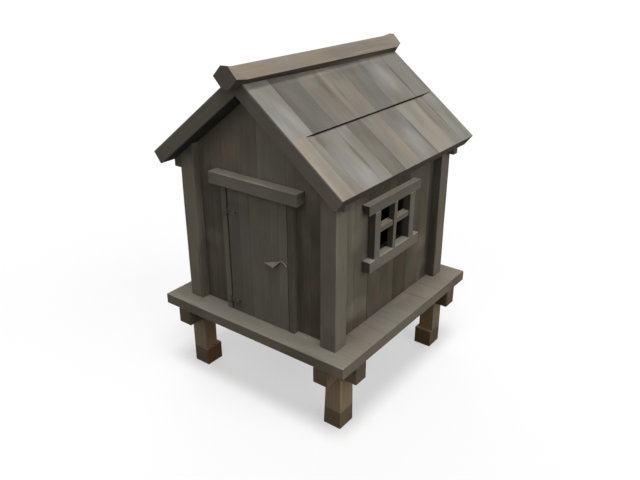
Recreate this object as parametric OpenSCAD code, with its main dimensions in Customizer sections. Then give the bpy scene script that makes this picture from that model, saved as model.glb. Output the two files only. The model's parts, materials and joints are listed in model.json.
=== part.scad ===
// Wooden stilt house: four stilts, a lapped beam frame, a timber deck, a boarded one-room house
// with corner posts, a gabled board roof under a ridge log, one ledged door and one window.
// Millimetres. +Z is up, the door gable faces -Y and the window faces +X.
// The origin is on the ground, under the middle of the house.

/* [Deck] */
// Width of the deck, side to side
deck_w = 3200; // [2900:10:4200]
// Depth of the deck, front to back
deck_d = 3320; // [2900:10:4200]
// Thickness of the deck timbers
deck_t = 154; // [60:1:220]
// Height of the walking surface above the ground
deck_h = 1215; // [900:5:2400]

/* [Beams under the deck] */
// Width of each beam
beam_w = 232; // [120:1:320]
// Depth of the side beams, which run front to back
side_beam_h = 232; // [140:1:320]
// Depth of the cross beams, which run side to side
cross_beam_h = 266; // [180:1:340]
// Distance of a side beam's centre line from the deck's side edge
side_beam_inset = 356; // [200:1:600]
// Distance of a cross beam's centre line from the deck's front edge
cross_beam_inset = 414; // [200:1:600]
// Wood left in the cross beam under the halved crossing
lap_seat_h = 150; // [90:1:200]

/* [Stilts] */
// Width of a leg, side to side
leg_w = 240; // [140:1:300]
// Depth of a leg, front to back
leg_d = 250; // [140:1:300]
// Width of a foot, level with its leg on the outer side face
foot_w = 280; // [150:1:400]
// Depth of a foot, level with its leg on the outer end face
foot_d = 300; // [150:1:400]
// Height of the foot
foot_h = 280; // [80:1:500]
// Width at the top of the front right stilt, which tapers up from its foot without a step
taper_top_w = 244; // [140:1:300]
// Depth at the top of the front right stilt
taper_top_d = 280; // [140:1:300]
// Distance of a stilt's outer side face from the deck's side edge
stilt_inset_x = 215; // [100:1:400]
// Distance of a stilt's outer end face from the deck's front edge
stilt_inset_y = 264; // [100:1:400]
// Side of the square stub tenons on stilts and posts
tenon_w = 80; // [40:1:120]
// Length of the stub tenons
tenon_h = 60; // [20:1:80]

/* [Posts and walls] */
// Section of the corner posts
post_w = 245; // [120:1:300]
// Distance of a post's side face from the deck's side edge
post_inset_x = 288; // [150:1:500]
// Distance of a post's end face from the deck's front edge
post_inset_y = 231; // [150:1:500]
// Step back from a post's outer face to the wall beside it
wall_recess = 130; // [20:1:160]
// Thickness of the walls
wall_t = 70; // [30:1:100]

/* [Roof] */
// Height of the roof's peak above the deck
ridge_h = 3408; // [2900:10:4400]
// Slope of the roof
roof_pitch = 37.7; // [30:0.1:42]
// How far the roof's top reaches past the posts' side faces
eave_reach = 243; // [130:1:500]
// How far the roof reaches past the front posts' end faces
front_verge_reach = 226; // [60:1:500]
// How far the roof reaches past the back posts' end faces
back_verge_reach = 191; // [60:1:500]
// Thickness of the roof, square to its slope
roof_t = 191; // [80:1:240]

/* [Ridge log] */
// How far the log runs past the roof's front, and as far from the middle at the back
ridge_log_reach = 150; // [40:1:400]
// Width over its side corners, along the roof
ridge_log_w = 448; // [250:1:520]
// Width of its flat top, along the roof and at its back end face
ridge_log_flat = 76; // [30:1:240]
// Width of its flat underside at the front verge and at its back end face
ridge_under_w = 130; // [60:1:240]
// Width of its flat underside at the back verge, where it is left squarer
ridge_back_under_w = 300; // [60:1:400]
// Height of its top above the roof's peak at the front verge
ridge_front_rise = 92; // [60:1:200]
// Depth of the log at the front verge
ridge_front_h = 240; // [160:1:340]
// Height of its top above the roof's peak at the back verge
ridge_back_rise = 62; // [40:1:200]
// Depth of the log at the back verge
ridge_back_h = 272; // [160:1:340]
// Width over the side corners of its front end face
front_end_w = 374; // [200:1:520]
// Width of the front end face's flat top and underside
front_end_flat = 116; // [60:1:240]
// Height of the front end face's top above the roof's peak
front_end_rise = 121; // [60:1:220]
// Depth of the front end face
front_end_h = 270; // [160:1:340]
// Width over the side corners of its back end face
back_end_w = 330; // [200:1:520]
// Height of the back end face's top above the roof's peak
back_end_rise = 78; // [40:1:220]
// Depth of the back end face
back_end_h = 254; // [160:1:340]

/* [Eave blocks] */
// Length of each block beyond its post's outer face
eave_block_l = 110; // [40:1:200]
// Width of each block
eave_block_w = 112; // [50:1:200]
// How far each block's underside lies below the roof's underside at the post's outer face
eave_block_drop = 188; // [100:1:300]

/* [Door] */
// Clear width between the jambs
door_w = 1050; // [700:5:1300]
// Height of the opening, up to the lintel
door_h = 1875; // [1500:5:2000]
// Width of each jamb
jamb_w = 84; // [40:1:140]
// How far the jambs stand out from the wall
jamb_d = 88; // [60:1:150]
// Length of the lintel
lintel_l = 1490; // [1300:5:2000]
// Height of the lintel
lintel_h = 166; // [80:1:200]
// How far the lintel stands out from the wall
lintel_d = 170; // [60:1:220]
// Gap between the door leaf and what surrounds it, away from its hinges
door_gap = 8; // [6:1:15]
// Gap between the door leaf and the jamb it hangs from
hinge_side_gap = 26; // [8:1:40]
// Thickness of the door's boards
leaf_t = 46; // [25:1:60]
// Step back of the leaf from the jambs' front
leaf_recess = 4; // [0:1:20]
// Height of the ledges across the back of the door
ledge_h = 130; // [60:1:200]
// Thickness of the ledges
ledge_t = 24; // [15:1:40]
// Distance of the ledges from the leaf's side edges
ledge_inset = 60; // [20:1:150]

/* [Door hinges and handle] */
// Height of the lower hinge above the deck
hinge_low_z = 170; // [120:5:600]
// Height of the upper hinge above the deck
hinge_high_z = 1515; // [1000:5:1700]
// Length of each strap, from the pin
strap_l = 190; // [80:5:600]
// Height of each strap
strap_h = 82; // [30:1:100]
// Thickness of each strap
strap_t = 6; // [3:1:10]
// Radius of the hinge pins
pin_r = 7; // [4:0.5:12]
// Wall of the strap's eye round its pin
eye_wall = 6; // [3:0.5:10]
// Radial running clearance of a pin in its eye
pin_gap = 0.08; // [0.02:0.01:0.1]
// How far a pin stands up past its strap
pin_end = 4; // [2:1:20]
// Gap between a strap's eye and the arm under it
eye_lift = 0.3; // [0.1:0.1:1]
// Gap between a strap's eye and the jamb behind it
eye_back = 2; // [1:0.5:10]
// Distance of the handle's middle from the leaf's latch edge
handle_inset = 254; // [170:1:400]
// Height of the handle's top edge above the deck, at its middle
handle_z = 975; // [700:5:1300]
// Length of the handle's top edge
handle_l = 314; // [120:1:320]
// Slope of the handle's top edge, rising to the latch side
handle_tilt = 19; // [0:1:30]
// Height of the handle's back on the leaf
handle_h = 28; // [20:1:60]
// How far the handle's tip stands out from the leaf
handle_d = 88; // [40:1:140]
// How far the handle's tip hangs below its top edge
handle_drop = 50; // [20:1:90]
// Width of the handle's blunt tip, and the depth of its edges
handle_edge = 10; // [4:1:20]

/* [Window] */
// Clear width of the window
window_w = 748; // [400:5:1000]
// Clear height of the window
window_h = 657; // [400:5:900]
// Height of the window's opening above the deck
window_z = 978; // [600:5:1200]
// Distance of the window's middle from the wall's middle, towards the back
window_shift = -32; // [-200:1:200]
// Width of the window's stiles
stile_w = 136; // [60:1:180]
// How far the stiles stand out from the wall
stile_d = 114; // [40:1:130]
// Length of the window's head board
window_head_l = 1310; // [1050:5:1700]
// Height of the head board
window_head_h = 136; // [60:1:200]
// How far the head board stands out from the wall
window_head_d = 112; // [40:1:130]
// Length of the sill
sill_l = 1270; // [1050:5:1700]
// Height of the sill
sill_h = 160; // [60:1:200]
// How far the sill stands out from the wall
sill_d = 130; // [40:1:160]

/* [Hidden] */

LEFT = -1;
RIGHT = 1;
FRONT = -1;
BACK = 1;

// Clearance of the tenons in their mortises
fit = 1;
// Overshoot of a cutting shape past the face it cuts
eps = 1;
// Sides of the pins and eyes when they are drawn
round_sides = 48;

// Levels below the deck
deck_under = deck_h - deck_t;
cross_beam_z = deck_under - cross_beam_h;
side_beam_z = deck_under - side_beam_h;
lap_z = cross_beam_z + lap_seat_h;

// Centre lines of the beams
side_beam_x = deck_w / 2 - side_beam_inset;
cross_beam_y = deck_d / 2 - cross_beam_inset;

// Outer faces of the stilts and posts, and the middle of each leg and post
stilt_x = deck_w / 2 - stilt_inset_x;
stilt_y = deck_d / 2 - stilt_inset_y;
leg_x = stilt_x - leg_w / 2;
leg_y = stilt_y - leg_d / 2;
post_x = deck_w / 2 - post_inset_x;
post_y = deck_d / 2 - post_inset_y;
post_in_x = post_x - post_w;
post_in_y = post_y - post_w;

// Outer faces of the walls
wall_x = post_x - wall_recess;
wall_y = post_y - wall_recess;

// Roof from its peak out to the eave's top edge, its two verges, and the ends of the ridge log
roof_half_w = post_x + eave_reach;
roof_y0 = -(post_y + front_verge_reach);
roof_y1 = post_y + back_verge_reach;
ridge_end_y = ridge_log_reach - roof_y0;

// Roof levels above the deck, and the eave's lower corner
roof_fall = tan(roof_pitch);
soffit_peak_h = ridge_h - roof_t / cos(roof_pitch);
eave_x = roof_half_w - roof_t * sin(roof_pitch);

// Door leaf and the hinge axis, which stands clear in front of the jamb and leaf
jamb_front = wall_y + jamb_d;
leaf_front = jamb_front - leaf_recess;
leaf_x0 = hinge_side_gap - door_w / 2;
leaf_x1 = door_w / 2 - door_gap;
leaf_h = door_h - 2 * door_gap;
eye_r = pin_r + pin_gap + eye_wall;
hinge_x = -(door_w - door_gap) / 2;
hinge_y = -(jamb_front + eye_r + eye_back);

// Window sides
window_y0 = window_shift - window_w / 2;
window_y1 = window_shift + window_w / 2;

// Height above the deck of the roof's underside at a distance from the middle
function soffit_h(x) = soffit_peak_h - roof_fall * abs(x);

// A block from one corner to the other
module block(low, high) {
    translate(low) cube(high - low);
}

// A profile drawn in the plane of the gables, carried from y0 to y1
module carry(y0, y1) {
    translate([0, y1, 0]) rotate([90, 0, 0]) linear_extrude(height = y1 - y0) children();
}

// Wall profile between x0 and x1, from z0 above the deck up to the roof's underside
module under_roof(x0, x1, z0) {
    peak = x0 * x1 < 0 ? [[0, deck_h + soffit_h(0)]] : [];
    polygon(concat(
        [[x0, deck_h + z0], [x1, deck_h + z0], [x1, deck_h + soffit_h(x1)]],
        peak,
        [[x0, deck_h + soffit_h(x0)]]
    ));
}

// ---- Stilts and the beam frame ----

// Stub tenon that stands on a stilt, up into its cross beam
module stilt_tenon(sx, sy) {
    translate([sx * leg_x - tenon_w / 2, sy * leg_y - tenon_w / 2, cross_beam_z - tenon_h])
        cube([tenon_w, tenon_w, 2 * tenon_h]);
}

// A straight leg that stands on a wider foot
module stilt(sx, sy) {
    color("peru") {
        block(
            [sx > 0 ? stilt_x - foot_w : -stilt_x, sy > 0 ? stilt_y - foot_d : -stilt_y, 0],
            [sx > 0 ? stilt_x : foot_w - stilt_x, sy > 0 ? stilt_y : foot_d - stilt_y, foot_h]
        );
        translate([sx * leg_x - leg_w / 2, sy * leg_y - leg_d / 2, 0])
            cube([leg_w, leg_d, cross_beam_z]);
        stilt_tenon(sx, sy);
    }
}

// A stilt whose leg and foot are one taper, upright on its two outer faces
module tapered_stilt() {
    color("peru") {
        intersection() {
            carry(-stilt_y, stilt_y) polygon([
                [stilt_x - foot_w, 0], [stilt_x, 0],
                [stilt_x, cross_beam_z], [stilt_x - taper_top_w, cross_beam_z]
            ]);
            rotate([90, 0, 90]) linear_extrude(height = stilt_x) polygon([
                [-stilt_y, 0], [foot_d - stilt_y, 0],
                [taper_top_d - stilt_y, cross_beam_z], [-stilt_y, cross_beam_z]
            ]);
        }
        stilt_tenon(RIGHT, FRONT);
    }
}

// Mortise cut around a stub tenon that comes up from level z
module mortise(x, y, z, depth) {
    half = tenon_w / 2 + fit;
    block([x - half, y - half, z - eps], [x + half, y + half, z + depth + fit]);
}

module cross_beam(sy) {
    color("sienna") difference() {
        translate([-deck_w / 2, sy * cross_beam_y - beam_w / 2, cross_beam_z])
            cube([deck_w, beam_w, cross_beam_h]);
        for (sx = [LEFT, RIGHT]) {
            translate([sx * side_beam_x - beam_w / 2, sy * cross_beam_y - beam_w, lap_z])
                cube([beam_w, 2 * beam_w, cross_beam_h]);
            mortise(sx * leg_x, sy * leg_y, cross_beam_z, tenon_h);
        }
    }
}

module side_beam(sx) {
    color("sienna") difference() {
        translate([sx * side_beam_x - beam_w / 2, -deck_d / 2, side_beam_z])
            cube([beam_w, deck_d, side_beam_h]);
        for (sy = [FRONT, BACK])
            translate([sx * side_beam_x - beam_w, sy * cross_beam_y - beam_w / 2, lap_z - cross_beam_h])
                cube([2 * beam_w, beam_w, cross_beam_h]);
    }
}

module deck() {
    color("tan") difference() {
        block([-deck_w / 2, -deck_d / 2, deck_under], [deck_w / 2, deck_d / 2, deck_h]);
        for (sx = [LEFT, RIGHT], sy = [FRONT, BACK]) {
            x = sx * (post_x - post_w / 2);
            y = sy * (post_y - post_w / 2);
            mortise(x, y, deck_h - tenon_h - fit, tenon_h + 2 * fit);
        }
    }
}

// ---- Posts, walls and eave blocks ----

module post(sx, sy) {
    x0 = sx > 0 ? post_in_x : -post_x;
    y0 = sy > 0 ? post_in_y : -post_y;
    color("rosybrown") {
        carry(y0, y0 + post_w) under_roof(x0, x0 + post_w, 0);
        translate([x0 + (post_w - tenon_w) / 2, y0 + (post_w - tenon_w) / 2, deck_h - tenon_h])
            cube([tenon_w, tenon_w, 2 * tenon_h]);
    }
}

module front_wall(sx) {
    x0 = sx > 0 ? door_w / 2 : -post_in_x;
    x1 = sx > 0 ? post_in_x : -door_w / 2;
    color("dimgray") block([x0, -wall_y, deck_h], [x1, wall_t - wall_y, deck_h + door_h]);
}

module front_gable() {
    color("dimgray") carry(-wall_y, wall_t - wall_y) under_roof(-post_in_x, post_in_x, door_h);
}

module back_wall() {
    color("dimgray") carry(wall_y - wall_t, wall_y) under_roof(-post_in_x, post_in_x, 0);
}

module left_wall() {
    color("dimgray") carry(-post_in_y, post_in_y) under_roof(-wall_x, wall_t - wall_x, 0);
}

module right_wall(y0, y1, z0) {
    color("dimgray") carry(y0, y1) under_roof(wall_x - wall_t, wall_x, z0);
}

module right_wall_below() {
    color("dimgray")
        block([wall_x - wall_t, window_y0, deck_h], [wall_x, window_y1, deck_h + window_z]);
}

module eave_block(sx, sy) {
    x0 = sx > 0 ? post_x : -post_x - eave_block_l;
    y0 = sy > 0 ? post_y - eave_block_w : -post_y;
    color("rosybrown") carry(y0, y0 + eave_block_w)
        under_roof(x0, x0 + eave_block_l, soffit_h(post_x) - eave_block_drop);
}

// ---- Roof ----

module roof(sx) {
    color("gray") carry(roof_y0, roof_y1) polygon([
        [0, deck_h + ridge_h],
        [sx * roof_half_w, deck_h + ridge_h - roof_fall * roof_half_w],
        [sx * eave_x, deck_h + soffit_h(eave_x)],
        [0, deck_h + soffit_peak_h]
    ]);
}

// Thin six-sided slice of the log at y: w over its side corners, flat on top and under below
module ridge_slice(y, w, flat, under, rise, h) {
    top = deck_h + ridge_h + rise;
    carry(y - eps / 2, y + eps / 2) polygon([
        [w / 2, top - h / 2], [flat / 2, top], [-flat / 2, top],
        [-w / 2, top - h / 2], [-under / 2, top - h], [under / 2, top - h]
    ]);
}

module front_end_slice() {
    ridge_slice(
        eps / 2 - ridge_end_y, front_end_w, front_end_flat, front_end_flat, front_end_rise, front_end_h
    );
}

module front_verge_slice() {
    ridge_slice(roof_y0, ridge_log_w, ridge_log_flat, ridge_under_w, ridge_front_rise, ridge_front_h);
}

module back_verge_slice() {
    ridge_slice(roof_y1, ridge_log_w, ridge_log_flat, ridge_back_under_w, ridge_back_rise, ridge_back_h);
}

module back_end_slice() {
    ridge_slice(
        ridge_end_y - eps / 2, back_end_w, ridge_log_flat, ridge_under_w, back_end_rise, back_end_h
    );
}

// A hewn log, drawn slice to slice and cut out below to sit astride the roof's peak
module ridge_log() {
    reach = ridge_log_w;
    color("darkkhaki") difference() {
        union() {
            hull() {
                front_end_slice();
                front_verge_slice();
            }
            hull() {
                front_verge_slice();
                back_verge_slice();
            }
            hull() {
                back_verge_slice();
                back_end_slice();
            }
        }
        carry(roof_y0, roof_y1) polygon([
            [-reach, deck_h + ridge_h - roof_fall * reach],
            [reach, deck_h + ridge_h - roof_fall * reach],
            [0, deck_h + ridge_h]
        ]);
    }
}

// ---- Door ----

module door_lintel() {
    z0 = deck_h + door_h;
    color("rosybrown")
        block([-lintel_l / 2, -wall_y - lintel_d, z0], [lintel_l / 2, -wall_y, z0 + lintel_h]);
}

module door_jamb(sx) {
    x0 = sx > 0 ? door_w / 2 : -door_w / 2 - jamb_w;
    color("rosybrown") block([x0, -jamb_front, deck_h], [x0 + jamb_w, -wall_y, deck_h + door_h]);
}

module door_leaf() {
    color("dimgray") block(
        [leaf_x0, -leaf_front, deck_h + door_gap],
        [leaf_x1, leaf_t - leaf_front, deck_h + door_gap + leaf_h]
    );
}

module door_ledge(z) {
    back = leaf_t - leaf_front;
    color("dimgray") block(
        [leaf_x0 + ledge_inset, back, deck_h + z - ledge_h / 2],
        [leaf_x1 - ledge_inset, back + ledge_t, deck_h + z + ledge_h / 2]
    );
}

// A strap on the face of the leaf, cranked out to an eye round its pin
module hinge_strap(z) {
    color("saddlebrown") difference() {
        union() {
            translate([hinge_x, hinge_y, deck_h + z - strap_h / 2])
                cylinder(r = eye_r, h = strap_h, $fn = round_sides);
            block(
                [hinge_x, hinge_y, deck_h + z - strap_h / 2],
                [hinge_x + eye_r, -leaf_front, deck_h + z + strap_h / 2]
            );
            block(
                [hinge_x + eye_r - eps, -leaf_front - strap_t, deck_h + z - strap_h / 2],
                [hinge_x + strap_l, -leaf_front, deck_h + z + strap_h / 2]
            );
        }
        translate([hinge_x, hinge_y, deck_h + z - strap_h / 2 - eps])
            cylinder(r = pin_r + pin_gap, h = strap_h + 2 * eps, $fn = round_sides);
    }
}

// A pin that stands on an arm from the face of the left jamb
module hinge_pintle(z) {
    arm_h = 2 * eye_r;
    arm_top = deck_h + z - strap_h / 2 - eye_lift;
    color("saddlebrown") {
        translate([hinge_x, hinge_y, arm_top - arm_h]) {
            cylinder(r = pin_r, h = arm_h + eye_lift + strap_h + pin_end, $fn = round_sides);
            cylinder(r = eye_r, h = arm_h, $fn = round_sides);
        }
        block(
            [-door_w / 2 - jamb_w / 2, hinge_y - eye_wall, arm_top - arm_h],
            [hinge_x, -jamb_front, arm_top]
        );
    }
}

// A three-cornered pull, cut back from its tip to the leaf on every side
module door_handle() {
    color("wheat")
        translate([leaf_x1 - handle_inset, -leaf_front, deck_h + handle_z])
        rotate([90, -handle_tilt, 0])
        hull() {
            linear_extrude(height = handle_edge)
                polygon([[-handle_l / 2, 0], [handle_l / 2, 0], [handle_l / 4, -handle_h]]);
            translate([handle_l / 6, -handle_drop, 0])
                linear_extrude(height = handle_d) square(handle_edge, center = true);
        }
}

// ---- Window ----

module window_head() {
    z0 = deck_h + window_z + window_h;
    color("rosybrown") block(
        [wall_x, window_shift - window_head_l / 2, z0],
        [wall_x + window_head_d, window_shift + window_head_l / 2, z0 + window_head_h]
    );
}

module window_sill() {
    z1 = deck_h + window_z;
    color("rosybrown") block(
        [wall_x, window_shift - sill_l / 2, z1 - sill_h],
        [wall_x + sill_d, window_shift + sill_l / 2, z1]
    );
}

module window_stile(y0) {
    z0 = deck_h + window_z;
    color("rosybrown") block([wall_x, y0, z0], [wall_x + stile_d, y0 + stile_w, z0 + window_h]);
}

stilt(LEFT, FRONT);  // stilt_front_left
tapered_stilt();  // stilt_front_right
stilt(LEFT, BACK);  // stilt_back_left
stilt(RIGHT, BACK);  // stilt_back_right
cross_beam(FRONT);  // cross_beam_front
cross_beam(BACK);  // cross_beam_back
side_beam(LEFT);  // side_beam_left
side_beam(RIGHT);  // side_beam_right
deck();
post(LEFT, FRONT);  // post_front_left
post(RIGHT, FRONT);  // post_front_right
post(LEFT, BACK);  // post_back_left
post(RIGHT, BACK);  // post_back_right
front_wall(LEFT);  // front_wall_left
front_wall(RIGHT);  // front_wall_right
front_gable();
back_wall();
left_wall();
right_wall(-post_in_y, window_y0, 0);  // right_wall_front
right_wall(window_y1, post_in_y, 0);  // right_wall_back
right_wall_below();
right_wall(window_y0, window_y1, window_z + window_h);  // right_wall_above
eave_block(LEFT, FRONT);  // eave_block_front_left
eave_block(RIGHT, FRONT);  // eave_block_front_right
eave_block(LEFT, BACK);  // eave_block_back_left
eave_block(RIGHT, BACK);  // eave_block_back_right
roof(LEFT);  // roof_left
roof(RIGHT);  // roof_right
ridge_log();
door_lintel();
door_jamb(LEFT);  // door_jamb_left
door_jamb(RIGHT);  // door_jamb_right
hinge_pintle(hinge_low_z);  // hinge_pintle_lower
hinge_pintle(hinge_high_z);  // hinge_pintle_upper
door_leaf();
door_ledge(hinge_low_z);  // door_ledge_lower
door_ledge(hinge_high_z);  // door_ledge_upper
hinge_strap(hinge_low_z);  // hinge_strap_lower
hinge_strap(hinge_high_z);  // hinge_strap_upper
door_handle();
window_head();
window_sill();
window_stile(window_y0 - stile_w);  // window_stile_front
window_stile(window_y1);  // window_stile_back
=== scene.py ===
# Wooden stilt house: grey weathered boards between heavy corner posts, a gabled board roof under
# a hewn ridge log, and four brown stilts that stand on wider feet.
import json
import math

import bmesh
import bpy
from mathutils import Matrix, Vector, noise


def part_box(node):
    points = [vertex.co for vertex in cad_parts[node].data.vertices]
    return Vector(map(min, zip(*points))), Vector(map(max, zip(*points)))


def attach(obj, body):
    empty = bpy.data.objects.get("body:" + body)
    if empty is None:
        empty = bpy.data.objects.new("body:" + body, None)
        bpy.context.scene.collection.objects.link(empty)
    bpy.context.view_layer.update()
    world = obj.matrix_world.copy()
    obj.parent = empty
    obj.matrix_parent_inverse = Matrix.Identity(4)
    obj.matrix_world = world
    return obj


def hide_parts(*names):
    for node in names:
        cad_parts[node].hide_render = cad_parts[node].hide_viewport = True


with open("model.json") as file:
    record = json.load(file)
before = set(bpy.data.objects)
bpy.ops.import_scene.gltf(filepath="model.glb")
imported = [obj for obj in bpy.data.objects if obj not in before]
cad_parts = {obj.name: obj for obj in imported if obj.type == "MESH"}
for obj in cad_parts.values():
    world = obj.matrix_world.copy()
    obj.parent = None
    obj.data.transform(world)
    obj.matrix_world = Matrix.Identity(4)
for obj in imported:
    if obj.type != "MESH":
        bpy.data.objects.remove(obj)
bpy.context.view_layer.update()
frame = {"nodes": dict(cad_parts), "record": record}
scene = bpy.context.scene
mm = 0.001
xWay, yWay, zWay = Vector((1, 0, 0)), Vector((0, 1, 0)), Vector((0, 0, 1))
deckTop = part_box("deck")[1].z
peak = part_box("roof_right")[1].z
pitch = math.radians(37.7)
print("frame loaded with", len(frame["nodes"]), "nodes")


def hexColour(text):
    parts = [int(text[i:i + 2], 16) / 255 for i in (1, 3, 5)]
    return [c / 12.92 if c <= 0.04045 else ((c + 0.055) / 1.055) ** 2.4 for c in parts] + [1]


def addNode(tree, kind, settings):
    # A setting is a property, or an input by its number or name, with a value or what links to it
    node = tree.nodes.new("ShaderNode" + kind)
    for key, value in settings.items():
        if isinstance(value, bpy.types.Node):
            value = value.outputs[0]
        if isinstance(value, bpy.types.NodeSocket):
            tree.links.new(value, node.inputs[key])
        elif isinstance(key, int) or key in node.inputs:
            node.inputs[key].default_value = value
        else:
            setattr(node, key, value)
    return node


def newMaterial(name):
    material = bpy.data.materials.new(name)
    material.use_nodes = True
    material.node_tree.nodes.clear()
    return material, material.node_tree


# Marks in a timber: size across and along the grain in mm, detail, and a shift that keeps them
# apart. Real fibres are under 1 mm wide, so the finest are drawn at 5 mm to show at all.
timberMarks = {
    "blotch": (260, 620, 1.5, 0.0), "streak": (40, 640, 2.0, 7.1), "fibre": (5, 275, 2.0, 1.3),
    "stain": (330, 600, 1.0, 3.7), "check": (26, 800, 0.5, 5.9), "sparse": (150, 500, 0.0, 2.3)}
ringStep = 0.314  # metres between two rings of a wave texture at scale 1
spanMarks = ("blotch", "streak", "fibre", "rings")  # the marks that a look's spans are for
noiseLow, noiseHigh = 0.3, 0.7  # nearly all values of a noise texture lie between these
crackEdge = (0.004, 0.02)  # how near its middle the check noise is in a crack and beside it
crackDepth = 0.03  # the check noise counts as sunk up to here
crackPlaces = (0.6, 0.54)  # the sparse noise that keeps cracks and that stops them
crackStop = 0.1
knotEdge = (0.03, 0.055)  # the radius of a knot and of the dark ring round it
knotSpread = (0.42, 0.42, 0.9)  # metres between knots, across and along the grain
pithShift, pithStretch = (0.11, 0.07, 0.0), (1.0, 1.0, 0.03)
patchEdge = (0.9, 1.6)  # the shares of its reach where a stain or a patch of painted light or shade begins to fade and where it ends
darkest = 0.04  # the lowest tone of a timber
bumpWeights = (("rings", 0.3), ("streak", 0.8), ("crack", 6.0))
bumpDepth = 0.003  # metres
roughRange = (0.8, 0.95)


def timberMaterial(name, look):
    # Sawn or hewn softwood, left bare to the weather: its lignin has washed out, so the eye sees a
    # dull grey-brown with soft bands along the grain, fine fibres, some drying cracks and a few
    # knots. All of it lies in the board's own grain frame, the attribute grainPlace; boardLook
    # holds the board's tone, its hue from cool to warm, and its wear, which on some faces is
    # painted light or shade.
    material, tree = newMaterial(name)
    place = addNode(tree, "Attribute", {"attribute_name": "grainPlace"}).outputs["Vector"]
    board = addNode(tree, "Attribute", {"attribute_name": "boardLook"}).outputs["Vector"]
    board = addNode(tree, "SeparateXYZ", {0: board}).outputs
    marks = {}
    for mark, (across, along, detail, shift) in timberMarks.items():
        size = (look["markSize"] if mark in ("blotch", "stain") else 1) * mm
        mapped = addNode(tree, "Mapping", {
            "vector_type": "TEXTURE", "Location": (shift, shift, shift),
            "Scale": (across * size, across * size, along * size), "Vector": place})
        marks[mark] = addNode(tree, "TexNoise", {"Scale": 1.0, "Detail": detail, "Vector": mapped})

    # Growth rings round a pith that lies outside the board, so that faces show long grain lines
    # and cut ends show arcs
    pith = addNode(tree, "Mapping", {"Location": pithShift, "Scale": pithStretch, "Vector": place})
    marks["rings"] = addNode(tree, "TexWave", {
        "wave_type": "RINGS", "rings_direction": "Z", "Scale": ringStep / (look["ringMm"] * mm),
        "Distortion": 2.5, "Detail": 2.0, "Detail Scale": 1.2, "Vector": pith}).outputs["Fac"]

    # Drying cracks run where the check noise crosses its middle, in places only
    crossing = addNode(tree, "Math", {"operation": "SUBTRACT", 0: marks["check"], 1: 0.5})
    crossing = addNode(tree, "Math", {"operation": "ABSOLUTE", 0: crossing})
    spared = addNode(tree, "MapRange", {
        "Value": marks["sparse"], "From Min": crackPlaces[0], "From Max": crackPlaces[1],
        "To Max": crackStop})
    marks["crack"] = addNode(tree, "Math", {"operation": "ADD", 0: crossing, 1: spared})
    knotPlace = addNode(tree, "Mapping", {
        "vector_type": "TEXTURE", "Scale": knotSpread, "Vector": place})
    marks["knot"] = addNode(tree, "TexVoronoi", {"Scale": 1.0, "Vector": knotPlace})
    here = addNode(tree, "TexCoord", {}).outputs["Object"]
    marks["height"] = addNode(tree, "SeparateXYZ", {0: here}).outputs["Z"]

    # Each of these multiplies the tone: the mark, its range, and the tone at both ends of it
    shades = [(mark, noiseLow, noiseHigh, 1 - span / 2, 1 + span / 2)
              for mark, span in zip(spanMarks, look["spans"])]
    shades += [("crack", *crackEdge, 1 - look["crackDark"], 1.0),
               ("knot", *knotEdge, 1 - look["knotDark"], 1.0)]
    for low, high, levelTone in look["levels"]:  # darker up to a level, in mm
        shades.append(("height", low * mm, high * mm, levelTone, 1.0))
    tone = board["X"]
    for mark, low, high, toneLow, toneHigh in shades:
        factor = addNode(tree, "MapRange", {
            "interpolation_type": "SMOOTHSTEP", "Value": marks[mark], "From Min": low,
            "From Max": high, "To Min": toneLow, "To Max": toneHigh})
        tone = addNode(tree, "Math", {"operation": "MULTIPLY", 0: tone, 1: factor})
    # The wear value darkens or lightens the tone: real wear, and on some faces painted light and
    # shade
    wearAndShade = addNode(tree, "Math", {"operation": "ADD", 0: board["Z"], 1: 1.0})
    tone = addNode(tree, "Math", {"operation": "MULTIPLY", 0: tone, 1: wearAndShade})
    swing = addNode(tree, "MapRange", {
        "Value": marks["stain"], "From Min": noiseLow, "From Max": noiseHigh,
        "To Min": -look["hueSpan"] / 2, "To Max": look["hueSpan"] / 2})
    hue = addNode(tree, "Math", {"operation": "ADD", 0: board["Y"], 1: swing})

    # Weather stains, and patches of painted light and shade, at their places on the house, in mm:
    # middle, reach, tone and shift of hue
    for middle, reach, patchTone, patchHue in look["stainsAndPaintedLight"]:
        near = addNode(tree, "Mapping", {
            "vector_type": "TEXTURE", "Location": [value * mm for value in middle],
            "Scale": [value * mm for value in reach], "Vector": here})
        near = addNode(tree, "VectorMath", {"operation": "LENGTH", 0: near}).outputs["Value"]
        near = addNode(tree, "Math", {"operation": "ADD", 0: near, 1: marks["streak"]})
        near = addNode(tree, "MapRange", {
            "interpolation_type": "SMOOTHSTEP", "Value": near, "From Min": patchEdge[0],
            "From Max": patchEdge[1], "To Min": 1.0, "To Max": 0.0})
        factor = addNode(tree, "Math", {
            "operation": "MULTIPLY_ADD", 0: near, 1: patchTone - 1, 2: 1.0})
        tone = addNode(tree, "Math", {"operation": "MULTIPLY", 0: tone, 1: factor})
        hue = addNode(tree, "Math", {"operation": "MULTIPLY_ADD", 0: near, 1: patchHue, 2: hue})

    ramp = addNode(tree, "ValToRGB", {"Fac": hue})
    stops = ramp.color_ramp.elements
    stops[0].position, stops[0].color = 0.0, hexColour(look["cool"])
    stops[1].position, stops[1].color = 1.0, hexColour(look["warm"])
    stops.new(0.5).color = hexColour(look["plain"])
    tone = addNode(tree, "Math", {"operation": "MAXIMUM", 0: tone, 1: darkest})
    colour = addNode(tree, "VectorMath", {"operation": "SCALE", 0: ramp, "Scale": tone})

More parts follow.
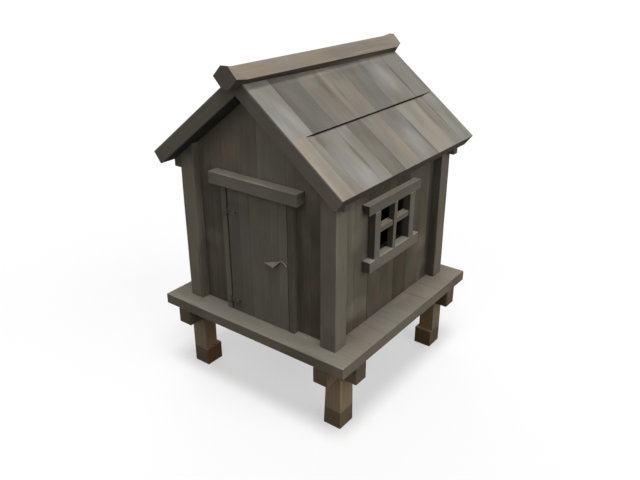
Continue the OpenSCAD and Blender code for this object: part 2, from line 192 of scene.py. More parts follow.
    height = marks["fibre"]
    for mark, weight in bumpWeights:
        source = marks[mark]
        if mark == "crack":
            source = addNode(tree, "Math", {"operation": "MINIMUM", 0: source, 1: crackDepth})
        height = addNode(tree, "Math", {
            "operation": "MULTIPLY_ADD", 0: source, 1: weight, 2: height})
    bump = addNode(tree, "Bump", {
        "Strength": look["bump"], "Distance": bumpDepth, "Height": height})
    rough = addNode(tree, "MapRange", {
        "Value": marks["fibre"], "From Min": noiseLow, "From Max": noiseHigh,
        "To Min": roughRange[0], "To Max": roughRange[1]})
    shader = addNode(tree, "BsdfPrincipled", {
        "Specular IOR Level": 0.12, "Base Color": colour, "Roughness": rough, "Normal": bump})
    addNode(tree, "OutputMaterial", {"Surface": shader})
    return material


def marksOn(planes):
    # Weather stains and patches of painted light and shade on flat sides of the house, in mm. A
    # side is given by its axis, its place along it and how deep its marks go, and each mark by its
    # middle and its reach along the other two axes, its tone and its shift of hue.
    stainsAndPaintedLight = []
    for (axis, at, depth), marks in planes.items():
        for first, second, reachFirst, reachSecond, tone, hue in marks:
            middle, reach = [first, second], [reachFirst, reachSecond]
            middle.insert("xyz".index(axis), at)
            reach.insert("xyz".index(axis), depth)
            stainsAndPaintedLight.append((middle, reach, tone, hue))
    return stainsAndPaintedLight


# Rough-sawn wall boards: dark and dull, darker just above the deck, with faint brown and olive
# stains and some painted shade
wallLook = {
    "cool": "#646259", "plain": "#666154", "warm": "#695c4d", "ringMm": 13, "hueSpan": 0.25,
    "spans": (0.24, 0.08, 0.1, 0.04), "markSize": 1.2,
    "crackDark": 0.2, "knotDark": 0.25, "bump": 0.35, "levels": [(1200, 1400, 0.8)],
    "stainsAndPaintedLight": marksOn({
        ("x", 1182, 90): [
            (-765, 1540, 330, 170, 1.36, -0.05), (-850, 1280, 420, 150, 0.76, 0.1),
            (-820, 2850, 260, 480, 1.3, 0.0), (-330, 1460, 200, 190, 1.04, 0.35),
            # (-400, 3080) is painted shade under the eave
            (-400, 3080, 780, 170, 0.72, 0.0), (900, 1880, 270, 170, 1.36, 0.35)],
        ("x", 1182, 60): [
            # The first two are painted shade on the wall beside the back right post
            (1150, 2150, 90, 1400, 0.5, 0.0), (1090, 1320, 150, 170, 0.55, 0.0),
            (-780, 2520, 200, 200, 1.18, 0.0), (-600, 2190, 90, 90, 1.22, 0.0)]})}
# The front wall's boards: the same boards, paler in the gable, with painted shade below it, and
# darker towards the deck
frontWallLook = dict(
    wallLook, cool="#78766c", plain="#7a7467", warm="#7c6c5e",
    # Darker from 1950 mm down to the deck, and painted shade on all below the gable, from 3330 mm
    # down
    levels=[(1215, 1950, 0.78), (3060, 3330, 0.6)],
    stainsAndPaintedLight=marksOn({
        ("y", -1299, 90): [
            (-520, 3500, 130, 200, 1.1, 0.5), (-920, 2210, 190, 170, 1.3, 0.0),
            (830, 2480, 170, 180, 1.12, 0.0), (740, 2650, 90, 140, 1.15, 0.2),
            # (665, 2150) is painted shade on the wall beside the right jamb
            (665, 2150, 55, 1200, 0.74, 0.0), (850, 2010, 170, 110, 1.12, 0.6),
            (850, 1620, 220, 340, 0.84, 0.15)],
        ("y", -1299, 60): [
            # (-1040, 1700) is painted shade beside the front left post, and (-1030, 3320) painted
            # shade under the roof there
            (-1040, 1700, 75, 900, 0.78, 0.0), (-1030, 3320, 85, 200, 0.75, 0.0),
            # (720, 1750) is painted shade beside the right jamb
            (720, 1750, 110, 850, 0.8, 0.0), (870, 3120, 190, 230, 1.32, 0.0),
            (-230, 4080, 230, 330, 1.22, 0.0), (-985, 3100, 120, 200, 1.22, 0.0)]}))
# Corner posts: hewn heartwood, lighter and smoother than the boards
postLook = dict(
    wallLook, cool="#757368", plain="#767164", warm="#776d5d", markSize=1.5,
    spans=(0.14, 0.07, 0.08, 0.04), levels=[(1200, 1400, 0.88)],
    stainsAndPaintedLight=marksOn({
        ("y", -1429, 60): [
            (1210, 2800, 200, 620, 1.25, 0.0), (1210, 1330, 200, 260, 0.84, 0.0),
            # (-1110, 3490) is painted shade under the roof, at the front left post's top
            (-1110, 3490, 170, 120, 0.72, 0.0), (-1190, 2950, 200, 500, 1.15, 0.0),
            (-1190, 1400, 200, 350, 0.87, 0.0)],
        ("x", 1312, 60): [(-1310, 2700, 200, 520, 1.12, 0.0)],
        # Painted shade on the front left post's right side
        ("x", -1067, 60): [
            (-1364, 1600, 130, 900, 0.66, 0.0), (-1350, 3330, 110, 200, 0.72, 0.0)],
        # Painted shade on the back right post, beside the wall
        ("y", 1184, 60): [(1247, 1500, 130, 1000, 0.62, 0.0)]}))
# Door boards: planed, then greyed evenly, with only a breath of difference from board to board
doorLook = dict(
    postLook, cool="#6a6861", plain="#6a665d", warm="#6b6357", markSize=1,
    spans=(0.1, 0.06, 0.08, 0.04), knotDark=0.15, crackDark=0.2, levels=[(1250, 2250, 0.84)],
    stainsAndPaintedLight=marksOn({("y", -1383, 60): [
        (-420, 1350, 110, 100, 0.7, 0.0), (-330, 2990, 260, 150, 1.2, 0.0)]}))
# Frames round the door and window: sound straight timber, a little paler than the walls
trimLook = dict(postLook, cool="#76736b", plain="#777266", warm="#777061", markSize=1, levels=[],
                stainsAndPaintedLight=[])
# Deck boards: walked and washed pale by rain, almost even in tone, browner on their edges
deckLook = dict(
    trimLook, cool="#7c7a72", plain="#7c776c", warm="#7c7160", markSize=1.6, hueSpan=0.3,
    spans=(0.1, 0.07, 0.08, 0.03), knotDark=0.2, crackDark=0.2, bump=0.3,
    stainsAndPaintedLight=marksOn({
        ("y", -1660, 40): [
            (-1090, 1138, 330, 160, 0.8, 0.0), (950, 1138, 420, 160, 0.78, 0.0),
            (1560, 1138, 140, 160, 1.2, 0.0)],
        ("x", 1600, 40): [(1400, 1138, 150, 160, 0.8, 0.1)],
        ("z", 1215, 60): [
            # (820, -1290) is painted light where the jamb and post shade the deck
            (820, -1290, 330, 150, 1.4, 0.0), (-1250, -1470, 330, 120, 0.85, 0.0),
            # Painted light on the deck next to the right wall, where the wall and roof shade it
            (1230, 330, 90, 330, 1.22, 0.0), (1230, -760, 90, 420, 1.12, 0.0),
            (-1480, -1560, 280, 200, 0.86, 0.0)]}))
# Beams under the deck: brown, because rain and sun seldom reach them
beamLook = dict(
    trimLook, cool="#726757", plain="#746652", warm="#79644c",
    stainsAndPaintedLight=marksOn({
        ("y", -1660, 60): [
            (-1244, 945, 300, 300, 0.76, -0.5), (1244, 945, 300, 300, 0.8, 0.15)],
        # Painted shade on the left side beam's inner face, under the deck
        ("x", -1128, 60): [(-1520, 940, 260, 280, 0.6, 0.0)],
        ("x", 1360, 60): [(-1530, 930, 200, 260, 0.95, 0.4)],
        ("x", 1600, 60): [
            (-1246, 930, 300, 300, 0.82, -0.4), (1246, 930, 300, 300, 0.93, -0.4)],
        # Painted shade on the back cross beam's front face, under the deck
        ("y", 1130, 60): [(1480, 930, 260, 300, 0.6, 0.0)]}))
# Stilts: brown softwood, with feet that the ground has stained darker
stiltLook = dict(
    trimLook, cool="#80745f", plain="#82735c", warm="#866649", hueSpan=0.18,
    spans=(0.16, 0.12, 0.1, 0.06), levels=[(262, 270, 0.6)],
    stainsAndPaintedLight=marksOn({
        ("y", -1396, 60): [
            (-1265, 540, 240, 400, 1.2, -0.5), (1250, 540, 240, 400, 1.19, 0.0)],
        ("x", -1145, 60): [(-1270, 540, 240, 400, 1.15, 0.3)],
        ("x", -1105, 45): [(-1246, 140, 320, 260, 0.83, 0.5)],
        ("x", 1385, 60): [
            (-1270, 540, 240, 400, 1.15, 0.0), (1270, 540, 240, 400, 0.88, -0.5)],
        ("y", 1146, 60): [(1265, 540, 240, 400, 1.17, 0.4)],
        ("y", 1096, 45): [(1245, 140, 320, 260, 0.96, 0.3)],
        ("x", 1385, 45): [(1246, 140, 320, 260, 0.88, 0.05)]}))
# Marks on the roof's right side, in mm: y, distance down the slope, reach along both, tone and
# shift of hue. The first is painted light where the ridge log shades the boards, the last painted
# shadow along the lap; of the rest, light ones are where rain washes the boards, dark ones where
# wet leaves lie.
roofMarks = [
    # Painted light where the ridge log shades the boards
    (0, 215, 1900, 110, 1.3, 0.0),
    (-1460, 860, 230, 330, 1.1, -0.1), (-1330, 430, 110, 240, 0.86, 0.0),
    (-620, 340, 200, 160, 1.14, 0.0), (-410, 420, 60, 280, 0.8, 0.1),
    (-295, 700, 75, 560, 1.18, 0.22), (-232, 640, 28, 200, 0.78, 0.0),
    (-30, 350, 160, 180, 0.84, 0.0), (-10, 880, 170, 210, 1.06, 0.2),
    (330, 330, 260, 150, 0.88, 0.0), (600, 400, 60, 220, 0.82, 0.0),
    (860, 620, 250, 350, 1.24, -0.15), (1167, 740, 40, 520, 0.74, 0.0),
    (-1215, 1180, 80, 120, 0.8, 0.0), (-1040, 1650, 270, 420, 1.2, -0.15),
    (-833, 1560, 45, 320, 0.72, -0.1), (45, 1640, 120, 520, 1.08, 0.18),
    (360, 1190, 220, 130, 0.92, 0.0), (357, 1640, 210, 300, 1.16, -0.15),
    (571, 1580, 42, 500, 0.7, 0.0), (1095, 1430, 42, 380, 0.8, 0.0),
    # The last mark is painted shadow along the lap
    (1310, 1400, 30, 260, 0.88, 0.0), (850, 1072, 700, 24, 0.65, 0.0)]
# Roof boards: silvered by sun, in broad soft bands of olive, tan and blue-grey
roofLook = dict(
    trimLook, cool="#7c7b7b", plain="#7a776e", warm="#7e7467", markSize=1.1, hueSpan=0.35,
    spans=(0.22, 0.08, 0.07, 0.03), knotDark=0.12, crackDark=0.15, bump=0.3,
    stainsAndPaintedLight=[((down * math.cos(pitch), y, peak / mm - down * math.sin(pitch)),
             (reachDown, reachAcross, reachDown), tone, hue)
            for y, down, reachAcross, reachDown, tone, hue in roofMarks])
# Ridge log: adzed all round, tan, browner below, with painted shade on its underside
ridgeLook = dict(
    trimLook, cool="#79746a", plain="#7b7368", warm="#7d6a54", spans=(0.08, 0.06, 0.06, 0.03),
    stainsAndPaintedLight=marksOn({
        ("z", 4620, 200): [(150, 650, 300, 950, 0.85, 0.0), (120, 1760, 300, 130, 1.12, 0.1)],
        ("z", 4450, 110): [(190, 0, 200, 2800, 1.0, 0.5)],
        # The last mark lifts the painted shade on the log's underside along its back part
        ("z", 4460, 150): [(150, 650, 90, 1070, 2.3, -0.3)]}))
# Barge boards on the gables' slopes: even grey-brown
bargeLook = dict(trimLook, cool="#67645d", plain="#68635a", warm="#695e50", markSize=2,
                 spans=(0.08, 0.06, 0.08, 0.04))
# The door's pull: hardwood rubbed pale by hands
handleLook = dict(trimLook, cool="#7d7a72", plain="#7e786d", warm="#807667")

timbers = {key: timberMaterial(name, look) for key, name, look in (
    ("wall", "weatheredWallBoards", wallLook),
    ("frontWall", "frontBoardsWithPaintedShade", frontWallLook),
    ("post", "weatheredHewnPosts", postLook),
    ("door", "weatheredDoorBoards", doorLook),
    ("trim", "weatheredTrimTimber", trimLook),
    ("deck", "walkedDeckTimber", deckLook),
    ("beam", "sawnBeamTimber", beamLook),
    ("stilt", "earthStainedStiltTimber", stiltLook),
    ("roof", "silveredRoofBoards", roofLook),
    ("ridge", "hewnRidgeLog", ridgeLook),
    ("barge", "weatheredBargeBoards", bargeLook),
    ("handle", "rubbedHandleWood", handleLook))}


ironRough = (0.6, 0.85)
ironPits = 0.001  # metres


def forgedIron(name, look):
    # Hand-forged wrought iron, never painted: rust has browned it, so it is dull, with small pits
    # and only a trace of metal in its gloss
    material, tree = newMaterial(name)
    place = addNode(tree, "TexCoord", {}).outputs["Object"]
    clouds = [addNode(tree, "TexNoise", {
        "Scale": 1 / (look[size] * mm), "Detail": 3.0, "Vector": place})
        for size in ("rustMm", "pitMm")]
    ramp = addNode(tree, "ValToRGB", {"Fac": clouds[0]})
    stops = ramp.color_ramp.elements
    stops[0].position, stops[0].color = 0.35, hexColour(look["iron"])
    stops[1].position, stops[1].color = 0.65, hexColour(look["rust"])
    rough = addNode(tree, "MapRange", {
        "Value": clouds[0], "From Min": noiseLow, "From Max": noiseHigh,
        "To Min": ironRough[0], "To Max": ironRough[1]})
    bump = addNode(tree, "Bump", {"Strength": 0.4, "Distance": ironPits, "Height": clouds[1]})
    shader = addNode(tree, "BsdfPrincipled", {
        "Metallic": look["metallic"], "Base Color": ramp, "Roughness": rough, "Normal": bump})
    addNode(tree, "OutputMaterial", {"Surface": shader})
    return material


strapIron = forgedIron("rustedStrapIron", {
    "iron": "#3c392f", "rust": "#413b2f", "rustMm": 22, "pitMm": 3, "metallic": 0.05})
boltIron = forgedIron("blackenedBoltIron", {
    "iron": "#171512", "rust": "#241d17", "rustMm": 14, "pitMm": 2, "metallic": 0.4})
wireIron = forgedIron("rubbedLatchIron", {
    "iron": "#9f9a8f", "rust": "#918a7d", "rustMm": 30, "pitMm": 2, "metallic": 0.2})
print("materials made:", len(bpy.data.materials))


boardCount = 0
grainSteps = ((1.37, 7), (2.19, 5), (3.73, 11))  # each board's shift in the grain, and its span
nearly = 0.00001  # metres; a corner this near a cut counts as on it
close = 0.0005  # metres; places closer than this count as the same in a search


def newPiece():
    bm = bmesh.new()
    bm.faces.layers.float_vector.new("boardLook")
    bm.verts.layers.float_vector.new("grainPlace")
    return bm


def lookOf(bm):
    return bm.faces.layers.float_vector["boardLook"]


def placed(x, y, z, origin):
    # Maps a flat board's x, y and z to their ways on the house, and its origin to a point there
    return Matrix([*zip(x, y, z, origin), (0, 0, 0, 1)])


def facesSince(bm, before):
    return [f for f in bm.faces if f not in before]


def inside(point, spans, margin=0):
    return all(low - margin < place < high + margin for place, (low, high) in zip(point, spans))


def addBlock(bm, low, high):
    verts = bmesh.ops.create_cube(bm, size=1)["verts"]
    bmesh.ops.scale(bm, vec=high - low, verts=verts)
    bmesh.ops.translate(bm, vec=(low + high) / 2, verts=verts)
    return verts


def cutAcross(bm, point, normal, faces=None, near=nearly, clear=False):
    # Cuts a mesh, or some of its faces, along a plane; clear drops all that lies beyond it
    if faces:
        edges = {e for f in faces for e in f.edges}
        parts = list({v for f in faces for v in f.verts}) + list(edges) + faces
    else:
        parts = bm.verts[:] + bm.edges[:] + bm.faces[:]
    return bmesh.ops.bisect_plane(bm, geom=parts, dist=near, plane_co=point, plane_no=normal,
                                  clear_outer=clear)["geom_cut"]


def sawOff(bm, point, normal):
    made = cutAcross(bm, point, normal, clear=True)
    rim = [e for e in made if isinstance(e, bmesh.types.BMEdge)]
    bmesh.ops.holes_fill(bm, edges=rim, sides=0)


def grainFrame(bm, faces, along, tone=1.0, hue=0.5):
    # Gives one board its tone and hue and its own place in the timber: z runs along the grain
    global boardCount
    boardCount += 1
    look, place = lookOf(bm), bm.verts.layers.float_vector["grainPlace"]
    turn = along.to_track_quat("Z", "Y").inverted()
    shift = Vector([boardCount * step % span for step, span in grainSteps])
    for face in faces:
        face[look] = (tone, hue, face[look].z)
        for vert in face.verts:
            vert[place] = turn @ vert.co + shift


def bevelEdges(bm, edges, width, segments, wear):
    made = bmesh.ops.bevel(bm, geom=edges, offset=width, offset_type="OFFSET", segments=segments,
                           profile=0.5, affect="EDGES", clamp_overlap=True, material=-1)
    for face in made["faces"]:
        face[lookOf(bm)] = (1, 0.5, wear)


def finishPiece(bm, name, material, body="house", replaced=()):
    bmesh.ops.recalc_face_normals(bm, faces=bm.faces)
    mesh = bpy.data.meshes.new(name)
    bm.to_mesh(mesh)
    bm.free()
    piece = bpy.data.objects.new(name, mesh)
    scene.collection.objects.link(piece)
    mesh.materials.append(material)
    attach(piece, body)
    if replaced:
        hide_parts(*replaced)


def sharpEdges(bm):
    return [e for e in bm.edges if e.is_manifold and e.is_convex
            and e.calc_face_angle(0) > math.radians(25)]


sameCorner = 0.00005  # metres; corners nearer than this are welded
hewScale = 2.6  # how fast the adze marks change along a timber
facing = 0.85  # a face looks a way when its normal goes at least this far along it


def hewSurface(bm, along, spacing, depth):
    # Cuts a timber across its grain and lets every face sink a few millimetres, as an adze does
    places = [v.co.dot(along) for v in bm.verts]
    low, high = min(places), max(places)
    count = max(2, round((high - low) / spacing))
    for k in range(1, count):
        cutAcross(bm, along * (low + (high - low) * k / count), along, near=close)
    bm.normal_update()
    for vert in bm.verts:
        sink = noise.noise(vert.co * hewScale) * 0.5 + 0.5
        vert.co -= (vert.normal - along * vert.normal.dot(along)) * depth * sink


def paintFaceShading(bm, faceLightAndShade):
    # Paints light or shade into every face that looks one of the ways, as its wear value
    for face in bm.faces:
        for way, wear in faceLightAndShade:
            if face.normal.dot(way) > facing:
                face[lookOf(bm)].z = wear


def timberFromNode(name, along, timber, settings, body="house"):
    # One bevelled and hewn timber that stands for the CAD node of the same name
    bm = newPiece()
    bm.from_mesh(frame["nodes"][name].data)
    bmesh.ops.remove_doubles(bm, verts=bm.verts, dist=sameCorner)
    bmesh.ops.dissolve_limit(bm, angle_limit=math.radians(1), verts=bm.verts, edges=bm.edges)
    if "cut" in settings:  # a corner sawn off its front end, from the wall down to the face
        sawOff(bm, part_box(name)[0] + Vector((0, 0, settings["cutUp"])), settings["cut"])
    bevelEdges(bm, sharpEdges(bm), settings["arrisMm"] * mm, 2, settings["wear"])
    covered = settings.get("covered", ())  # where another timber meets its upper front edge
    for y in [y for span in covered for y in span]:
        cutAcross(bm, (0, y, 0), yWay)
    if covered:
        cutAcross(bm, (settings["coveredFrom"], 0, 0), xWay)
    if "hewMm" in settings:
        hewSurface(bm, along, settings["hewStep"], settings["hewMm"] * mm)
    grainFrame(bm, bm.faces, along, settings.get("tone", 1.0), settings.get("hue", 0.5))
    bm.normal_update()
    look = lookOf(bm)
    for face in bm.faces:
        face.smooth = False
        if abs(face.normal.dot(along)) > 0.8:  # sawn ends go darker than the faces
            face[look].z = settings.get("endWear", -0.15)
        elif face.normal.z < -0.4:  # and an underside gets painted shade
            face[look].z = settings.get("underShade", 0)
    # Painted light and shade on the faces that look given ways
    paintFaceShading(bm, settings.get("faceLightAndShade", ()))
    # No painted highlight on tops where another timber stands on them
    for face in bm.faces:
        middle = face.calc_center_median()
        if any(y0 < middle.y < y1 and middle.x > settings["coveredFrom"] for y0, y1 in covered):
            face[look].z = 0
    finishPiece(bm, name + "_timber", timbers[timber], body, [name])


shortest = 0.02  # metres; shorter edges get no groove
# Grooves between wall boards go darker; the window opening's reveals get painted shade
grooveWear, revealShade = -0.6, -0.6


def panelBoard(bm, side, ends, levels, thick, slopes, opening, groove, tone, hue, innerShade):
    # One upright board of a wall: a flat outline in the wall's outer face, cut to the roof and
    # round the opening, then drawn back through the wall. side maps (u, z) to the wall's plane.
    before = set(bm.faces)
    flat = bmesh.ops.create_grid(bm, x_segments=1, y_segments=1, size=0.5)["verts"]
    bmesh.ops.scale(bm, vec=(ends[1] - ends[0], levels[1] - levels[0], 1), verts=flat)
    bmesh.ops.translate(bm, vec=(sum(ends) / 2, sum(levels) / 2, 0), verts=flat)

    def board():
        return facesSince(bm, before)

    for point, normal in slopes:
        cutAcross(bm, point, normal, board(), clear=True)
    if opening and ends[0] < opening[0][1] and ends[1] > opening[0][0]:
        for u in opening[0]:
            cutAcross(bm, (u, 0, 0), xWay, board())
        for z in opening[1]:
            cutAcross(bm, (0, z, 0), yWay, board())
        holes = [f for f in board() if inside(f.calc_center_median(), opening)]
        bmesh.ops.delete(bm, geom=holes, context="FACES")
        seams = {e for f in board() for e in f.edges if len(e.link_faces) == 2}
        bmesh.ops.dissolve_edges(bm, edges=list(seams), use_verts=False)
        straight = {v for f in board() for v in f.verts
                    if len(v.link_edges) == 2 and v.calc_edge_angle(1) < 0.001}
        bmesh.ops.dissolve_verts(bm, verts=list(straight))
    made = bmesh.ops.extrude_face_region(bm, geom=board())["geom"]
    bmesh.ops.translate(bm, vec=(0, 0, -thick),
                        verts=[v for v in made if isinstance(v, bmesh.types.BMVert)])
    bmesh.ops.recalc_face_normals(bm, faces=board())
    grooves = {}
    for edge in {e for f in board() for e in f.edges}:
        a, b = (v.co for v in edge.verts)
        if abs(a.z - b.z) < close and abs(a.y - b.y) > shortest:
            for end, width in zip(ends, groove):
                if width and abs(a.x - end) < close and abs(b.x - end) < close:
                    grooves.setdefault(width, []).append(edge)
    for width, edges in grooves.items():
        bevelEdges(bm, edges, width, 1, grooveWear)
    faces = board()
    look = lookOf(bm)
    for face in faces:
        middle = face.calc_center_median()
        # The wall's inner face gets the room's painted shade
        if middle.z < 2 * close - thick:
            face[look].z = innerShade
        elif opening and abs(middle.z + thick / 2) < 2 * close:  # the opening's reveals get painted shade
            if inside(middle, opening, 2 * close):
                face[look].z = revealShade
    bmesh.ops.transform(bm, matrix=side, verts=list({v for f in faces for v in f.verts}))
    grainFrame(bm, faces, zWay, tone, hue)


# Painted light on the up-facing tops of the stilts' feet, under the deck
stiltSettings = {"arrisMm": 8, "wear": 0.1, "hewMm": 4, "hewStep": 0.14, "endWear": -0.3,
                 "faceLightAndShade": [(zWay, 0.4)]}
corners = ("front_left", "front_right", "back_left", "back_right")
for corner in corners:
    timberFromNode("stilt_" + corner, zWay, "stilt", stiltSettings)

beamSettings = {"arrisMm": 8, "wear": 0.05, "hewMm": 4, "hewStep": 0.3, "endWear": -0.25}
for name in ("cross_beam_front", "cross_beam_back"):
    timberFromNode(name, xWay, "beam", beamSettings)
for name in ("side_beam_left", "side_beam_right"):
    timberFromNode(name, yWay, "beam", beamSettings)

# Painted shade on the posts' front faces
postSettings = {"arrisMm": 9, "wear": 0.04, "hewMm": 6, "hewStep": 0.22,
                "faceLightAndShade": [(-yWay, -0.12)]}
for corner, tone in zip(corners, (1.14, 0.97, 1.0, 0.86)):
    timberFromNode("post_" + corner, zWay, "post", dict(postSettings, tone=tone))
# The eave blocks' undersides get painted shade
blockSettings = {"arrisMm": 6, "wear": 0.05, "endWear": -0.3, "underShade": -0.5, "tone": 0.8}
for corner in corners:
    timberFromNode("eave_block_" + corner, xWay, "post", blockSettings)
print("frame timbers made")


# The inner faces of the room's four walls, and how much painted shade darkens the room inside
roomLow = Vector((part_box("left_wall")[1].x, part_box("front_gable")[1].y))
roomHigh = Vector((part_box("right_wall_below")[0].x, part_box("back_wall")[0].y))
roomShade = -0.75

deckSettings = {
    # y of each joint in metres, its width, and the boards between them
    "seams": [-1.325, -0.985, -0.64, -0.3, 0.08, 0.507, 0.87, 1.26],
    "grooves": [0.0015] * 5 + [0.005] + [0.0015] * 2,
    "tones": [1.0, 0.98, 1.01, 0.99, 1.02, 0.99, 1.03, 1.0, 1.05],
    "hues": [0.45, 0.5, 0.6, 0.5, 0.4, 0.45, 0.6, 0.55, 0.7], "arrisMm": 6,
    # The front edge's lower tone is painted shade
    "edgeWear": 0.05, "jointWear": -0.5, "edgeTone": 0.8, "frontShadeTone": 0.69, "edgeHue": 0.35}
low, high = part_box("deck")
bm = newPiece()
ends = [low.y] + deckSettings["seams"] + [high.y]
widths = [deckSettings["arrisMm"] * mm] + deckSettings["grooves"] + [deckSettings["arrisMm"] * mm]
for k, (start, stop) in enumerate(zip(ends, ends[1:])):
    before = set(bm.faces)
    addBlock(bm, Vector((low.x, start, low.z)), Vector((high.x, stop, high.z)))
    for value, width in ((start, widths[k]), (stop, widths[k + 1])):  # its four long edges
        found = [e for e in {e for f in facesSince(bm, before) for e in f.edges}
                 if all(abs(v.co.y - value) < nearly for v in e.verts)
                 and abs(e.verts[0].co.x - e.verts[1].co.x) > 0.5]
        kind = "edgeWear" if value in (low.y, high.y) else "jointWear"
        bevelEdges(bm, found, width, 1, deckSettings[kind])
    grainFrame(bm, facesSince(bm, before), xWay, deckSettings["tones"][k],
               deckSettings["hues"][k])
for x in (roomLow.x, roomHigh.x):  # cut along the walls, so that the room's floor can take painted shade
    cutAcross(bm, (x, 0, 0), xWay)
for y in (roomLow.y, roomHigh.y):
    cutAcross(bm, (0, y, 0), yWay)
bm.normal_update()
look = lookOf(bm)
for face in bm.faces:
    middle = face.calc_center_median()
    if inside(middle, zip(roomLow, roomHigh)) and middle.z > high.z - 0.002:
        face[look].z = roomShade
    elif abs(face.normal.z) < 0.5:  # the deck's edges, browner than its top; the front edge darker still, painted shade
        edgeTone = deckSettings["frontShadeTone" if face.normal.y < -0.5 else "edgeTone"]
        face[look] = (face[look].x * edgeTone, face[look].y + deckSettings["edgeHue"],
                      face[look].z)
finishPiece(bm, "deck_boards", timbers["deck"], replaced=["deck"])
print("deck made")


roofThick = 0.191
soffitPeak = peak - roofThick / math.cos(pitch)
# The two planes of the roof's underside, in a gable wall's outline
roofCuts = [((0, soffitPeak, 0), (math.sin(pitch), math.cos(pitch), 0)),
            ((0, soffitPeak, 0), (-math.sin(pitch), math.cos(pitch), 0))]

frontSettings = {
    "seams": [-0.86, -0.641, -0.29, -0.022, 0.18, 0.44, 0.597, 0.83],
    "grooves": [0.001, 0.002, 0.001, 0.0015, 0.001, 0.002, 0.001, 0.001],
    "tones": [0.95, 1.04, 1.0, 1.07, 1.27, 1.15, 1.1, 0.98, 0.88],
    "hues": [0.45, 0.45, 0.45, 0.45, 0.25, 0.25, 0.3, 0.45, 0.55]}
backSettings = {
    "seams": [-0.78, -0.44, -0.13, 0.21, 0.5, 0.81],
    "grooves": [0.0015, 0.003, 0.0015, 0.004, 0.0015, 0.003],
    "tones": [0.95, 1.05, 0.97, 1.1, 1.0, 0.93, 1.02],
    "hues": [0.45, 0.6, 0.5, 0.4, 0.6, 0.5, 0.45]}
rightSettings = {
    "seams": [-0.85, -0.516, -0.18, 0.16, 0.512, 0.86],
    "grooves": [0.001, 0.004, 0.001, 0.0015, 0.0035, 0.001],
    "tones": [1.07, 0.97, 0.78, 0.77, 0.56, 0.86, 0.9],
    "hues": [0.45, 0.5, 0.55, 0.6, 0.7, 0.45, 0.5]}
leftSettings = {
    "seams": [-0.88, -0.57, -0.23, 0.1, 0.45, 0.79],
    "grooves": [0.0015, 0.003, 0.001, 0.004, 0.0015, 0.003],
    "tones": [1.0, 0.93, 1.06, 0.97, 0.9, 1.03, 0.98],
    "hues": [0.5, 0.45, 0.6, 0.4, 0.5, 0.6, 0.45]}


def boardedWall(name, settings, box, out, replaced, slopes=(), opening=None,
                timber="wall", body="house"):
    # Upright boards that fill a box; out is the way their outer face looks
    low, high = box
    axis = 0 if out[0] else 1
    origin = [0, 0, 0]
    origin[axis] = (high if out[axis] > 0 else low)[axis]
    side = placed(zWay.cross(out), zWay, out, origin)
    edgeGroove = settings.get("edgeGroove", 0)
    ends = [low[1 - axis]] + settings["seams"] + [high[1 - axis]]
    grooves = [edgeGroove] + settings["grooves"] + [edgeGroove]
    bm = newPiece()
    for k, (tone, hue) in enumerate(zip(settings["tones"], settings["hues"])):
        panelBoard(bm, side, ends[k:k + 2], (low.z, high.z), high[axis] - low[axis], slopes,
                   opening, grooves[k:k + 2], tone, hue, settings.get("innerShade", roomShade))
    finishPiece(bm, name, timbers[timber], body, replaced)


boardedWall("back_wall_boards", backSettings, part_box("back_wall"), yWay, ["back_wall"],
            roofCuts)
low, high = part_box("front_gable")
doorway = (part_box("front_wall_left")[1].x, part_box("front_wall_right")[0].x)
boardedWall("front_wall_boards", frontSettings, (Vector((low.x, low.y, deckTop)), high),
            -yWay, ["front_wall_left", "front_wall_right", "front_gable"], roofCuts,
            (doorway, (deckTop - 1, low.z)), "frontWall")
boardedWall("left_wall_boards", leftSettings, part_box("left_wall"), -xWay, ["left_wall"])
below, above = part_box("right_wall_below"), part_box("right_wall_above")
boardedWall("right_wall_boards", rightSettings,
            (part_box("right_wall_front")[0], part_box("right_wall_back")[1]), xWay,
            ["right_wall_front", "right_wall_back", "right_wall_below", "right_wall_above"],
            opening=((below[0].y, below[1].y), (below[1].z, above[0].z)))
print("walls made")


# Each row of roof boards: the joints' y in metres, then every board's tone and hue
roofRows = {
    "right": {
        "upper": ([-1.25, -0.786, -0.35, 0.13, 0.555, 1.167],
                  [1.17, 0.69, 0.82, 0.97, 0.8, 0.96, 0.9],
                  [0.4, 0.55, 0.6, 0.68, 0.5, 0.45, 0.4]),
        "lower": ([-1.393, -1.238, -0.833, -0.595, -0.274, 0.143, 0.571, 1.1, 1.31, 1.54],
                  [1.31, 1.09, 1.06, 1.06, 0.76, 0.96, 0.99, 1.16, 1.0, 1.07, 1.07],
                  [0.86, 0.68, 0.48, 0.45, 0.55, 0.6, 0.5, 0.66, 0.6, 0.42, 0.42])},
    "left": {
        "upper": ([-1.1, -0.62, -0.2, 0.24, 0.71, 1.2],
                  [0.9, 1.05, 0.8, 1.0, 0.88, 1.1, 0.82], [0.4, 0.7, 0.3, 0.6, 0.2, 0.5, 0.75]),
        "lower": ([-1.32, -0.9, -0.47, -0.05, 0.33, 0.62, 1.02, 1.38, 1.54],
                  [1.0, 0.86, 1.1, 0.95, 1.05, 0.8, 1.0, 1.12, 0.9, 0.9],
                  [0.6, 0.3, 0.5, 0.8, 0.4, 0.55, 0.25, 0.7, 0.5, 0.5])}}
